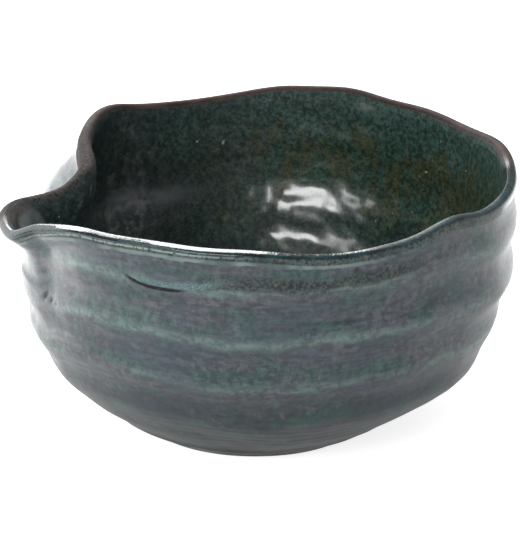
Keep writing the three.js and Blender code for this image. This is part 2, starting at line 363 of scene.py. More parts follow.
# Turn and height of each pit, then its size and depth.
pits = (
    (14, 55.4 * mm, 1.1 * mm, 0.6 * mm), (16.5, 53.6 * mm, 0.8 * mm, 0.5 * mm),
    (19, 52.6 * mm, 0.6 * mm, 0.35 * mm), (82, 69.8 * mm, 0.9 * mm, 0.3 * mm),
    (84, 69.9 * mm, 0.8 * mm, 0.25 * mm), (96, 72.6 * mm, 1.2 * mm, 0.3 * mm),
    (103, 72.6 * mm, 0.9 * mm, 0.25 * mm), (99, 52.3 * mm, 1.1 * mm, 0.2 * mm),
)


def above_fold(turn, height):
    """Height above the fold's line and above its run past the fold. The line sags in a parabola, steeper
    towards the spout."""
    at = degrees(turn)
    rise = np.where(at < fold_lowest_turn, *fold_rises)
    return height - fold_height - rise * (at - fold_lowest_turn) ** 2


def fold(turn, height):
    """Share of the fold's depth: nothing below its line, full just above it, and fading up the wall. The
    fold closes towards its ends."""
    first, last = fold_turns
    along = np.clip((degrees(turn) - first) / (last - first), 0, 1)
    above = above_fold(turn, height)
    rounded = 1 / (1 + np.exp(-np.clip(above / fold_edge, -50, 50)))
    return 4 * along * (1 - along) * np.exp(-np.maximum(above, 0) / fold_fade) * rounded


def crack(turn, height):
    """Share of the crack under the fold: a bell across its line, wider and shallower where it starts."""
    at = degrees(turn)
    wide = crack_width + crack_widening * (1 - smooth(at, *crack_wide_turns))
    return between(at, crack_start, crack_end) * np.exp(-(above_fold(turn, height) / wide) ** 2)


def groove(turn, height):
    """Share of the groove's depth: a bell across a line that leans away from the spout as it goes down."""
    line = groove_top_turn + groove_lean * (rim_height - height) / mm
    across = degrees(turn) - line
    bell = np.exp(-(np.radians(across) * belly_radius / groove_width) ** 2)
    return bell * between(height, groove_foot, groove_top)


def pitting(turn, height):
    """Depth of the pits: the sum of bells on the wall at their places."""
    total = 0
    for at, level, size, depth in pits:
        off = (wrapped(turn - np.radians(at)) * belly_radius) ** 2 + (height - level) ** 2
        total = total + depth * np.exp(-off / size ** 2)
    return total


def finger_rings(turn, height, points):
    """Depth of the rings that the fingers left: a cosine of a height that wanders with the turn and with soft
    hills, coming and going round the bowl."""
    climb = height + 0.8 * mm * np.sin(2 * turn + 1) + 0.5 * mm * np.sin(5 * turn)
    climb = climb + 0.5 * mm * dapple(points, 30 * mm, 7)
    rings = np.cos(2 * np.pi * climb / finger_pitch) * (0.5 + 0.5 * np.cos(3 * turn + climb / (7 * mm)))
    return finger_depth * rings * (1 + finger_deepening * (1 - smooth(height, *finger_deep)))


def hollowed(points, hollows):
    """Depth of soft hollows: the sum of seeded dapples, each of its own size and depth."""
    return sum(deep * dapple(points, size, seed) for size, deep, seed in hollows)


def outside_relief(turn, height, points):
    """Depth of the marks and of the hand's unevenness, less bells in turn and height where the wall
    swells."""
    lip_fade = 1 - smooth(height, spring_height - relief_fade, spring_height)
    depth = finger_rings(turn, height, points) + hollowed(points, outside_hollows)
    depth = depth + fold_depth * fold(turn, height) + crack_depth * crack(turn, height)
    depth = depth + groove_depth * groove(turn, height)
    depth = np.maximum((depth + pitting(turn, height)) * lip_fade, -face_depth)
    depth = depth + lip_inset * (1 - lip_fade)
    for at, level, wide, tall, out in wall_swells:
        depth = depth - out * hump(turn, at, wide) * np.exp(-((height - level) / tall) ** 2) * lip_fade
    return depth


def outside_wall(turn, height, depth):
    """Outside skin at a depth, with its relief."""
    out, _ = directions(turn, height)
    plain = outside(turn, height)
    return plain - (depth + outside_relief(turn, height, plain))[..., None] * out


def lip(turn, swing, depth):
    """Over the lip, swung from the outside, 0, to the inside, half a turn: a half round with a flatter top,
    most of all beside the spout, because the powers of the sine and cosine are less than one."""
    out, up = directions(turn, spring_height)
    half = thickness(turn, spring_height)[..., None] / 2
    crown = outside(turn, spring_height) - out * half
    radius = half - depth - lip_inset
    power = lip_squareness - flat_lip * hump(turn, flat_lip_turn, flat_lip_spread)
    across = np.sign(np.cos(swing)) * np.abs(np.cos(swing)) ** power
    over = np.abs(np.sin(swing)) ** power
    return crown + radius * (across[..., None] * out + over[..., None] * up)


def inside_relief(points, fade):
    """Depth of the uneven glaze inside: soft hollows with smaller ones among them."""
    return np.maximum(hollowed(points, inside_hollows) * fade, -face_depth)


def inside_wall(turn, height, depth):
    """Inside skin at a depth, one wall's thickness in from the outside skin, without its ridges but with a
    low ring, which is a bell in height, and the hollow over it. Beyond the spout it is creased where the
    hills of another pattern meet its hollows."""
    out, _ = directions(turn, height, 0)
    ring = inner_ring * np.exp(-((height - inner_ring_height) / inner_ring_spread) ** 2)
    hollow = hollow_depth * (smooth(height, *hollow_from) - smooth(height, hollow_to, spring_height))
    plain = outside(turn, height, 0) - (thickness(turn, height) + ring - hollow)[..., None] * out
    fade = 1 - smooth(height, spring_height - relief_fade, spring_height)
    creased = hump(turn, crease_turn, crease_spread) * smooth(height, *crease_from) * fade
    wrinkles = np.maximum(1 - crease_sharpness * np.abs(dapple(plain, crease_size, 9)), 0)
    creases = creased * crease_depth * wrinkles
    return plain + (depth + creases + inside_relief(plain, fade))[..., None] * out


def floor_inside(turn, part, depth):
    """Floor inside, from the wall, 1, to its middle, 0: shares of the way across, steep beside the wall."""
    out, _ = directions(turn, floor_join, 0)
    edge = outside(turn, floor_join, 0) - thickness(turn, floor_join)[..., None] * out
    middle = np.array([axis.x - centre_shift(floor_join), axis.y, floor_height])
    part = part[..., None] * np.ones_like(edge)
    part[..., 2] = part[..., 2] ** floor_curve
    plain = middle + (edge - middle) * part
    return plain - (depth + inside_relief(plain, 1))[..., None] * np.array([0, 0, 1])


even_turns = np.linspace(-np.pi, np.pi, turn_count, endpoint=False)
turns = (even_turns - turn_crowding * np.sin(even_turns - crowded_turn))[None, :]


def rows(first, last, count):
    """Even steps from first to last as a column, one row of the grid each, at every turn."""
    return np.linspace(first, last, count)[:, None] + 0 * turns


def skin_mesh(name, rings, first=None, last=None, sharp=(), **values):
    """A closed skin through rings of points, as rows of four-sided faces. With first and last, the skin
    closes in a fan of triangles at those two points. Without them, the last ring joins the first. Edges
    along the sharp rings stay crisp, and values are kept on the points for the materials to read."""
    count, across = rings.shape[:2]
    index = np.arange(count * across).reshape(count, across)
    beside = np.roll(index, -1, axis=1)
    open_rows = count - 1 if first is not None else count
    upper = np.roll(index, -1, axis=0)[:open_rows]
    upper_beside = np.roll(beside, -1, axis=0)[:open_rows]
    quads = np.stack([index[:open_rows], beside[:open_rows], upper_beside, upper], axis=-1).reshape(-1, 4)
    points = rings.reshape(-1, 3)
    fans = np.zeros((0, 3), int)
    if first is not None:
        points = np.concatenate([points, [first, last]])
        pole, far_pole = np.full(across, count * across), np.full(across, count * across + 1)
        start_fan = np.stack([pole, beside[0], index[0]], axis=1)
        end_fan = np.stack([index[-1], beside[-1], far_pole], axis=1)
        fans = np.concatenate([start_fan, end_fan])
    corners = np.concatenate([quads.ravel(), fans.ravel()])
    starts = np.concatenate([np.arange(len(quads)) * 4, len(quads) * 4 + np.arange(len(fans)) * 3])
    mesh = bpy.data.meshes.new(name)
    mesh.vertices.add(len(points))
    mesh.vertices.foreach_set("co", points.astype(np.float32).ravel())
    mesh.loops.add(len(corners))
    mesh.loops.foreach_set("vertex_index", corners.astype(np.int32))
    mesh.polygons.add(len(starts))
    mesh.polygons.foreach_set("loop_start", starts.astype(np.int32))
    mesh.update(calc_edges=True)
    mesh.shade_smooth()
    ends = np.zeros(len(mesh.edges) * 2, np.int32)
    mesh.edges.foreach_get("vertices", ends)
    ring = ends.reshape(-1, 2) // across
    crisp = (ring[:, 0] == ring[:, 1]) & np.isin(ring[:, 0], [r % count for r in sharp])
    mesh.attributes.new("sharp_edge", "BOOLEAN", "EDGE").data.foreach_set("value", crisp)
    for key, value in values.items():
        flat = np.broadcast_to(value, (count, across)).ravel()
        if first is not None:
            flat = np.concatenate([flat, [flat[0], flat[-1]]])
        mesh.attributes.new(key, "FLOAT", "POINT").data.foreach_set("value", flat.astype(np.float32))
    return mesh


def add_piece(name, mesh, node, material):
    """Puts a piece's mesh in the scene, on the body, in place of its plain CAD node."""
    piece = new_object(name, mesh)
    mesh.materials.append(material)
    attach(piece, "root")
    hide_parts(node)
    return piece


def new_material(name):
    """A material with a bare glossy shader, as its node tree and that shader's inputs."""
    material = bpy.data.materials.new(name)
    material.use_nodes = True
    return material, material.node_tree, material.node_tree.nodes["Principled BSDF"].inputs


def put(value, socket):
    """Links another node's output to a socket, or sets the socket to a plain value."""
    if isinstance(value, bpy.types.NodeSocket):
        socket.id_data.links.new(value, socket)
    elif isinstance(value, tuple) and len(value) == 3 and socket.type == "RGBA":
        socket.default_value = (*value, 1)
    else:
        socket.default_value = value


def math_of(operation, first, second=0.0):
    """Arithmetic on two values, of which one at least is another node's output."""
    socket = first if isinstance(first, bpy.types.NodeSocket) else second
    made = socket.id_data.nodes.new("ShaderNodeMath")
    made.operation = operation
    put(first, made.inputs[0])
    put(second, made.inputs[1])
    return made.outputs[0]


def ramp(value, low, high, start=0.0, end=1.0):
    """From start at low to end at high, with an even turn at both ends."""
    made = value.id_data.nodes.new("ShaderNodeMapRange")
    made.interpolation_type = "SMOOTHSTEP"
    keys = ("Value", "From Min", "From Max", "To Min", "To Max")
    for given, key in zip((value, low, high, start, end), keys):
        put(given, made.inputs[key])
    return made.outputs["Result"]


def blend(share, under, over):
    """Colour over laid on colour under by a share from 0 to 1."""
    made = share.id_data.nodes.new("ShaderNodeMix")
    made.data_type = "RGBA"
    for given, key in ((share, "Factor_Float"), (under, "A_Color"), (over, "B_Color")):
        put(given, next(socket for socket in made.inputs if socket.identifier == key))
    return next(socket for socket in made.outputs if socket.identifier == "Result_Color")


def layers(colour, *laid):
    """Colours laid on a first one in turn, each by its own share."""
    for share, over in laid:
        colour = blend(share, colour, over)
    return colour


def tones(value, low, high, under, over):
    """Two colours by a pattern's value: under up to low and over from high on, with an even turn between."""
    return blend(ramp(value, low, high), under, over)


def share_of(*shares):
    """The product of shares from 0 to 1."""
    product = shares[0]
    for share in shares[1:]:
        product = math_of("MULTIPLY", product, share)
    return product


def place(tree, flatten=1.0):
    """The point on the piece. Heights count flatten times over, so that patterns lie in streaks."""
    made = tree.nodes.new("ShaderNodeTexCoord")
    turned = tree.nodes.new("ShaderNodeMapping")
    put(made.outputs["Object"], turned.inputs["Vector"])
    turned.inputs["Scale"].default_value = (1, 1, flatten)
    return turned.outputs["Vector"]


def clouds(where, size, detail=2.0, roughness=0.5):
    """Cloudy pattern round 0.5 with patches about size across."""
    made = where.id_data.nodes.new("ShaderNodeTexNoise")
    put(where, made.inputs["Vector"])
    made.inputs["Scale"].default_value = 1 / size
    made.inputs["Detail"].default_value = detail
    made.inputs["Roughness"].default_value = roughness
    return made.outputs["Fac"]


def bump(height, depth, under=None):
    """The shading of small hills, depth high, on top of any under them."""
    made = height.id_data.nodes.new("ShaderNodeBump")
    made.inputs["Distance"].default_value = depth
    put(height, made.inputs["Height"])
    if under is not None:
        put(under, made.inputs["Normal"])
    return made.outputs["Normal"]


def clay_material(name, pale, dark, roughness):
    """Fired stoneware: grey-brown with a grain of sand, darker clouds, iron specks and turned streaks."""
    material, tree, shader = new_material(name)
    grain = clouds(place(tree), 0.7 * mm, 3, 0.7)
    streaks = clouds(place(tree, 14), 9 * mm, 3, 0.6)
    specks = ramp(clouds(place(tree), 1.3 * mm, 1), 0.66, 0.72)
    colour = tones(streaks, 0.32, 0.68, dark, pale)
    colour = blend(share_of(specks, 0.7), colour, (0.03, 0.022, 0.018))
    put(colour, shader["Base Color"])
    put(roughness, shader["Roughness"])
    put(bump(grain, 0.05 * mm, bump(streaks, 0.12 * mm)), shader["Normal"])
    return material


def round_foot(radius, turn, level):
    """Points at a radius and a level round the foot's own middle."""
    along, across = radius * np.cos(turn), radius * np.sin(turn)
    return np.stack([axis.x - foot_shift - along, axis.y - across, level + 0 * across], axis=-1)


bare_line = 0.9 * mm
band_reach = 1.6 * mm
band_foot = spring_height - band_reach
underside_height = foot_height + 0.3 * mm
underside_radius = foot_top_radius - 0.6 * mm
clay_heights = rows(foot_height + bare_line, band_foot, 60)
clay_swings = rows(0, np.pi, 12)
clay_floor = rows(1, 0.04, 16)
bare_heights = rows(foot_height, foot_height + bare_line, 5)
under_parts = np.concatenate([np.linspace(0.03, 0.97, 40), [0.985, 1]])[:, None]
# A shallow spiral of the turning tool runs out over the underside, which is smooth at its edge.
tool_pitch = 1.9 * mm
tool_depth = 0.12 * mm
tool_lines = tool_depth * np.cos(2 * np.pi * under_parts * underside_radius / tool_pitch - turns)
tool_lines = tool_lines * (under_parts < 0.98)
underside = round_foot(under_parts * underside_radius, turns, underside_height + tool_depth + tool_lines)
bare_depth = face_depth + 0.15 * mm
clay_rings = np.concatenate([
    underside,
    outside_wall(turns, bare_heights, bare_depth),
    outside_wall(turns, clay_heights[1:], clay_depth),
    lip(turns, clay_swings, clay_depth)[1:-1],
    inside_wall(turns, clay_heights[::-1], clay_depth),
    floor_inside(turns, clay_floor, clay_depth),
])
foot_edge = len(underside) - 1
clay_mesh = skin_mesh(
    "clay_body", clay_rings, first=underside[0].mean(axis=0), last=clay_rings[-1].mean(axis=0),
    sharp=(foot_edge, foot_edge + 1, foot_edge + len(bare_heights)),
)
clay = clay_material("bare_stoneware", (0.27, 0.25, 0.23), (0.14, 0.125, 0.11), 0.7)
add_piece("clay_body", clay_mesh, "clay_bowl", clay)

# Foot ring: a low ring of the same clay, luted to the underside and turned true, with worn edges.
# Its outer side leans out to meet the wall, and the tool left fine lines round it.
ring_width = 7.2 * mm
ring_edge = 0.45 * mm
ring_turns = np.linspace(-np.pi, np.pi, 300, endpoint=False)[None, :]
tool_line_pitch = 1.1 * mm
tool_line_depth = 0.06 * mm
tool_lines_from = (0.4 * mm, 0.9 * mm)
tool_lines_to = (2.5 * mm, foot_height)


def ring_section(corners, edge, steps):
    """Rows of radius and height round a section: straight between its corners, with each corner cut back
    by an edge and rounded there by a curve through it."""
    line = []
    for at, corner in enumerate(corners):
        corner = np.array(corner)
        before, after = np.array(corners[at - 1]), np.array(corners[(at + 1) % len(corners)])
        start = corner + (before - corner) / np.linalg.norm(before - corner) * edge
        end = corner + (after - corner) / np.linalg.norm(after - corner) * edge
        for part in np.linspace(0, 1, steps):
            line.append(start * (1 - part) ** 2 + corner * 2 * part * (1 - part) + end * part ** 2)
        following = after + (corner - after) / np.linalg.norm(corner - after) * edge
        for part in np.linspace(0, 1, steps + 2)[1:-1]:
            line.append(end + (following - end) * part)
    return np.array(line)


ring_inside = foot_bottom_radius - ring_width
section = ring_section([
    (foot_bottom_radius, 0), (foot_top_radius, foot_height), (ring_inside, foot_height), (ring_inside, 0),
], ring_edge, 7)
ring_radius, ring_level = section[:, :1], section[:, 1:]
turned = tool_line_depth * np.cos(2 * np.pi * ring_level / tool_line_pitch + ring_turns)
turned = turned * between(ring_level, tool_lines_from, tool_lines_to)
uneven = 0.12 * mm * np.cos(3 * ring_turns + 0.8) + 0.08 * mm * np.cos(7 * ring_turns)
ring_radius = ring_radius - face_depth + turned + uneven * (ring_radius > ring_inside + ring_edge)
foot_rings = round_foot(ring_radius, ring_turns, ring_level)
foot_clay = clay_material("foot_stoneware", (0.34, 0.32, 0.3), (0.17, 0.158, 0.148), 0.5)
add_piece("foot", skin_mesh("foot", foot_rings), "foot_ring", foot_clay)

# Outside glaze: a satin coat, dipped and run, that breaks pale green on the crests of the throwing ridges
# and lies grey-violet and dark teal in the hollows. Its lower edge rolls to an end above the foot ring.
# Its rows crowd under the rim, where the fold, the crack and the pits are fine. Its back has fewer.
back_step = 10
even_rows = rows(0, 1, 200)
crowded_row = 0.885
crowding = 0.5 / (2 * np.pi)
crowded = np.sin(2 * np.pi * (even_rows - crowded_row)) + np.sin(2 * np.pi * crowded_row)
coat_foot = foot_height + bare_line
coat_heights = coat_foot + (band_foot - coat_foot) * (even_rows - crowding * crowded)
edge_roll = coat_thickness * (1 - smooth(coat_heights, coat_foot, coat_foot + 0.9 * mm)) ** 2
back_heights = coat_heights[::-back_step]
outside_face = outside_wall(turns, coat_heights, face_depth + edge_roll * 0.5)
outside_back = outside_wall(turns, back_heights, face_depth + coat_thickness)
outside_rings = np.concatenate([outside_face, outside_back])


def section_length(rings):
    """Length along each turn's section from the first ring, as a running sum of its steps."""
    steps = np.linalg.norm(np.diff(rings, axis=0), axis=-1)
    return np.concatenate([np.zeros((1, rings.shape[1])), np.cumsum(steps, axis=0)])


def both(face, back):
    """Values for a coat's face and for its back."""
    return np.concatenate([face, back])


outside_length = section_length(outside_face)
below_band = outside_length[-1:] - outside_length
half_lip = thickness(turns, spring_height) / 2
outside_from_crown = below_band + band_reach + np.pi / 2 * half_lip
near_start = (-2, 8)
near_end = (158, 176)
beside_start = (8, 20)
beside_end = (58, 78)
pinched_spread = 30
crackle_start = (45, 48)
crackle_end = (60, 72)
crackle_from = (0.3 * mm, 0.7 * mm)
crackle_to = (1.6 * mm, 3.4 * mm)
speck_start = (58, 66)
speck_end = (102, 120)
speck_from = (65.6 * mm, 67 * mm)
speck_to = (69.6 * mm, 71.4 * mm)
speck_rise = 0.09 * mm
speck_rise_turn = 88


def crackled(turn, height):
    """Share of the crackled glaze that gathered above the fold and runs on past it, fading upwards."""
    above = above_fold(turn, height)
    return between(degrees(turn), crackle_start, crackle_end) * between(above, crackle_from, crackle_to)


def specked(turn, height):
    """Share of the specked band over the highest ridge in front, which rises a little towards its far end:
    its ends and edges fade."""
    at = degrees(turn)
    level = height - speck_rise * np.maximum(at - speck_rise_turn, 0)
    return between(at, speck_start, speck_end) * between(level, speck_from, speck_to)


def on_both(function):
    """A function of turn and height, worked out on the coat's face and on its back."""
    return both(function(turns, coat_heights), function(turns, back_heights))


def lip_values(from_crown):
    """What the rim's colour reads from the points: the distance from the lip's crown, then shares. Nearer is
    full from the spout's tip round the front to the far end, pinched is a bell with a flat top round the
    pinch and the spout's farther lip, and beside_spout fades from the spout towards the front."""
    return {
        "from_crown": from_crown,
        "nearer": between(degrees(turns), near_start, near_end),
        "pinched": np.exp(-(degrees(turns - np.radians(pinch_turn)) / pinched_spread) ** 4),
        "beside_spout": between(degrees(turns), beside_start, beside_end),
    }


# Painted shade in the pits: the glaze is darkened there, fully at this depth.
pit_shade_depth = 0.25 * mm
face_count = len(outside_face)
outside_mesh = skin_mesh(
    "outside_coat", outside_rings,
    sharp=(face_count - 1, face_count, len(outside_rings) - 1),
    cycles=on_both(ridge_phase) / (2 * np.pi),
    climb=both(coat_heights, back_heights),
    pooled=on_both(pitting) / pit_shade_depth,
    crack=on_both(crack),
    specked=on_both(specked),
    crackled=on_both(crackled),
    **lip_values(both(-outside_from_crown, -outside_from_crown[::-back_step])),
)


def kept_value(tree, key):
    """A value that the mesh keeps on its points."""
    made = tree.nodes.new("ShaderNodeAttribute")
    made.attribute_name = key
    return made.outputs["Fac"]


def coordinates(tree):
    """The point on the piece, as its three coordinates."""
    parts = tree.nodes.new("ShaderNodeSeparateXYZ")
    put(place(tree), parts.inputs[0])
    return parts.outputs


def streak_place(tree, flatten):
    """The point on the piece with the ridges' own climb as its height, so that streaks follow the ridges."""
    along, across, _ = coordinates(tree)
    joined = tree.nodes.new("ShaderNodeCombineXYZ")
    climb = share_of(kept_value(tree, "cycles"), ridge_pitch * flatten)
    for given, socket in zip((along, across, climb), joined.inputs):
        put(given, socket)
    return joined.outputs[0]


def around_half(value, size):
    """A pattern that lies round 0.5, turned into one round 0 of the given size."""
    return share_of(math_of("SUBTRACT", value, 0.5), size)


def cells(where, size):
    """Distance to the nearest wall of a net of cells, each about size across, in shares of a cell."""
    made = where.id_data.nodes.new("ShaderNodeTexVoronoi")
    made.feature = "DISTANCE_TO_EDGE"
    put(where, made.inputs["Vector"])
    made.inputs["Scale"].default_value = 1 / size
    return made.outputs["Distance"]


def rim_colour(tree):
    """Reddish brown over the farther lip, brown-violet at the pinch and nearly black teal on the nearer lip,
    whose shoulder has ochre and dark specks, a painted highlight line and, below them, a thin pale line where
    the glaze drew back."""
    from_crown = kept_value(tree, "from_crown")
    near = kept_value(tree, "nearer")
    spots = clouds(place(tree), 0.9 * mm, 2, 0.6)
    drift = clouds(place(tree), 9 * mm, 2, 0.6)
    brown = tones(drift, 0.38, 0.62, (0.026, 0.012, 0.009), (0.055, 0.03, 0.022))
    pinch = tones(spots, 0.38, 0.64, (0.01, 0.008, 0.008), (0.05, 0.039, 0.032))
    brown = blend(kept_value(tree, "pinched"), brown, pinch)
    teal = tones(drift, 0.4, 0.6, (0.009, 0.015, 0.017), (0.014, 0.042, 0.046))
    teal = tones(spots, 0.6, 0.68, teal, (0.03, 0.085, 0.08))
    shoulder = share_of(ramp(from_crown, -1.5 * mm, -2.1 * mm), near, ramp(drift, 0.36, 0.56, 0.35, 1.0))
    under = tones(spots, 0.38, 0.6, (0.03, 0.05, 0.05), (0.055, 0.09, 0.088))
    specks = tones(spots, 0.45, 0.4, under, (0.008, 0.01, 0.009))
    specks = tones(spots, 0.6, 0.65, specks, (0.13, 0.09, 0.035))
    # Painted highlight: a pale line along the nearer lip's shoulder, from beside the spout towards the front.
    painted_shoulder_highlight = share_of(
        ramp(from_crown, -2.2 * mm, -2.5 * mm), ramp(from_crown, -3.1 * mm, -2.7 * mm),
        near, kept_value(tree, "beside_spout"), ramp(spots, 0.36, 0.5), 0.8)
    drawn_back = ramp(from_crown, -3.4 * mm, -4 * mm)
    pale = tones(drift, 0.35, 0.55, (0.07, 0.11, 0.112), (0.18, 0.24, 0.225))
    to_right = ramp(coordinates(tree)[0], 0, 38 * mm, 0.9, 0.12)
    return layers(
        brown, (near, teal), (shoulder, specks), (painted_shoulder_highlight, (0.28, 0.38, 0.36)),
        (share_of(drawn_back, to_right, near), pale),
    )


outside_glaze, tree, shader = new_material("outside_glaze")
cycles = kept_value(tree, "cycles")
fine = clouds(place(tree), 0.8 * mm, 2, 0.6)
mottle = clouds(place(tree), 2 * mm, 3, 0.65)
patches = clouds(place(tree, 1.3), 5.5 * mm, 3, 0.6)
broad = clouds(streak_place(tree, 3.2), 19 * mm, 3, 0.6)
streaks = clouds(streak_place(tree, 6), 7 * mm, 3, 0.6)
drips = clouds(place(tree, 0.3), 4.2 * mm)
wobble = math_of("ADD", around_half(patches, 0.2), around_half(fine, 0.12))
bent_cycles = math_of("ADD", cycles, wobble)
above_crest = math_of("FRACT", bent_cycles)
half_cycle_on = math_of("FRACT", math_of("ADD", bent_cycles, 0.5))
from_crest = math_of("ABSOLUTE", math_of("SUBTRACT", half_cycle_on, 0.5))
# Painted shade: a darker band just under each ridge's crest, where the mix also leans to violet.
shade_under_crest = share_of(ramp(above_crest, 0.5, 0.9), ramp(above_crest, 1.0, 0.95))
over_crest = share_of(ramp(above_crest, 0.0, 0.05), ramp(above_crest, 0.45, 0.2))
violet = tones(mottle, 0.34, 0.66, (0.042, 0.046, 0.06), (0.11, 0.116, 0.136))
teal = tones(mottle, 0.34, 0.66, (0.016, 0.05, 0.05), (0.07, 0.145, 0.132))
mixed = around_half(broad, 0.75)
for more in (around_half(drips, 0.3), around_half(patches, 0.35), share_of(over_crest, 0.035)):
    mixed = math_of("ADD", mixed, more)
mixed = math_of("SUBTRACT", mixed, share_of(shade_under_crest, 0.025))
bluish = ramp(clouds(place(tree, 2), 26 * mm), 0.48, 0.64)
bluish = share_of(bluish, ramp(mottle, 0.3, 0.7, 0.3, 0.8))
speckled = tones(fine, 0.42, 0.56, (0.009, 0.016, 0.015), (0.038, 0.06, 0.052))
speckled = tones(mottle, 0.58, 0.68, speckled, (0.075, 0.07, 0.05))
speckled = tones(fine, 0.5, 0.45, speckled, (0.004, 0.007, 0.007))
faint_specks = share_of(over_crest, ramp(broad, 0.42, 0.6), 0.35)
speck_share = math_of("MAXIMUM", faint_specks, share_of(kept_value(tree, "specked"), 0.95))
sparks = share_of(ramp(clouds(place(tree), 0.8 * mm, 1), 0.68, 0.74), ramp(from_crest, 0.22, 0.05))
# Darker between the crests: partly the glaze's tone in the hollows, partly painted shade that deepens the
# ridges' contrast.
tone_and_shade_between_crests = share_of(ramp(from_crest, 0.12, 0.48), ramp(broad, 0.34, 0.62, 0.3, 1.0))
clear_of_specks = ramp(kept_value(tree, "specked"), 0, 1, 1.0, 0.2)
near_crest = share_of(ramp(from_crest, 0.2, 0.02), ramp(broad, 0.36, 0.56, 0.25, 1.0), clear_of_specks)
line_share = share_of(ramp(from_crest, 0.12, 0.0), ramp(broad, 0.4, 0.58), ramp(mottle, 0.35, 0.6))
# Darker and greener towards the foot: partly the glaze's own tone, partly painted shade of the dimmer lower
# wall.
low = ramp(kept_value(tree, "climb"), 40 * mm, 14 * mm)
low_shaded_colour = tones(mixed, -0.04, 0.14, (0.012, 0.02, 0.024), (0.02, 0.052, 0.048))
net = cells(place(tree), 0.6 * mm)
crackle = tones(net, 0.06, 0.22, (0.13, 0.23, 0.235), (0.03, 0.055, 0.066))
pooled_share = share_of(kept_value(tree, "crackled"), ramp(mottle, 0.3, 0.55, 0.4, 1.0))
# Painted shadow: nearly black along the crack under the fold, with rougher glaze there.
crack_shadow = kept_value(tree, "crack")
pale_dabs = share_of(ramp(clouds(place(tree, 0.7), 3 * mm), 0.6, 0.72), 0.3)
edge_place = math_of("ADD", kept_value(tree, "from_crown"), around_half(drips, 2.4 * mm))
edge_share = ramp(edge_place, -5.2 * mm, -4.4 * mm)
pinch_share = share_of(ramp(edge_place, -9 * mm, -6 * mm), kept_value(tree, "pinched"))
colour = layers(
    tones(mixed, -0.06, 0.12, violet, teal),
    (bluish, (0.062, 0.088, 0.118)),
    (share_of(ramp(streaks, 0.45, 0.62), 0.5), (0.024, 0.034, 0.042)),
    (share_of(shade_under_crest, ramp(broad, 0.4, 0.6), 0.4), (0.032, 0.038, 0.048)),
    (speck_share, speckled),
    (share_of(tone_and_shade_between_crests, 0.4), (0.02, 0.029, 0.036)),
    (share_of(near_crest, 0.32), (0.14, 0.19, 0.18)),
    (share_of(line_share, 0.7), (0.14, 0.22, 0.19)),
    (share_of(sparks, ramp(broad, 0.46, 0.62), 0.35), (0.36, 0.4, 0.3)),
    (share_of(low, 0.85), low_shaded_colour),
    (pooled_share, crackle),
    (ramp(crack_shadow, 0.15, 0.6), (0.004, 0.006, 0.008)),
    (ramp(kept_value(tree, "pooled"), 0.35, 1.0), (0.012, 0.014, 0.014)),
    (pale_dabs, (0.13, 0.17, 0.155)),
    (math_of("MAXIMUM", edge_share, pinch_share), rim_colour(tree)),
)
put(colour, shader["Base Color"])
put(ramp(crack_shadow, 0.15, 0.6, 0.36, 0.9), shader["Roughness"])
put(0.2, shader["Coat Weight"])
put(0.15, shader["Coat Roughness"])
put(1.45, shader["Coat IOR"])
put(bump(fine, 0.03 * mm, bump(mottle, 0.07 * mm)), shader["Normal"])
add_piece("outside_coat", outside_mesh, "outside_glaze", outside_glaze)

# Inside glaze: a thick glossy coat poured in and out, nearly black by the spout and mottled with teal and
# olive on the other side, where it ran down from the rim. Its uneven surface breaks up the highlights.
inner_heights = rows(band_foot, floor_join, 150)
floor_parts = rows(1, 0.03, 42)[1:]
inside_face = np.concatenate([
    inside_wall(turns, inner_heights, face_depth),
    floor_inside(turns, floor_parts, face_depth),
])
inside_back = np.concatenate([
    floor_inside(turns, floor_parts[::-6], face_depth + coat_thickness),
    inside_wall(turns, inner_heights[::-8], face_depth + coat_thickness),
])
inside_length = section_length(inside_face)
inside_from_crown = inside_length + band_reach + np.pi / 2 * half_lip
inside_rings = np.concatenate([inside_back, inside_face])
# A painted grey reflection on the inside wall beyond the spout: its turn and width in degrees, its depth
# below the crown, its height, and how it slopes.
veil_turn = -68
veil_width = 14
veil_depth = 32 * mm
veil_height = 3.2 * mm
veil_slope = 1.2 * mm
spout_turn = 3
spout_width = 13


def painted_veil(turn, below):
    """Share of the painted grey reflection inside, beyond the spout: a bell round the bowl and down the wall.
    """
    along = (degrees(turn) - veil_turn) / veil_width
    return np.exp(-along ** 2 - ((below - veil_depth - veil_slope * along) / veil_height) ** 2)


def inside_values(from_crown, veil_share):
    """What the inside's colour reads as well: the share of the painted grey reflection, and a bell with a
    flat top in the spout."""
    in_spout = np.exp(-((degrees(turns) - spout_turn) / spout_width) ** 4)
    return {**lip_values(from_crown), "painted_veil": veil_share, "spout": in_spout}


no_back = 0 * inside_back[..., 0]
far_from_crown = 50 * mm + no_back
veil_share = both(no_back, painted_veil(turns, inside_from_crown))
back_count = len(inside_back)
inside_mesh = skin_mesh(
    "inside_coat", inside_rings, first=inside_back[0].mean(axis=0), last=inside_face[-1].mean(axis=0),
    sharp=(back_count - 1, back_count),
    **inside_values(both(far_from_crown, inside_from_crown), veil_share),
)


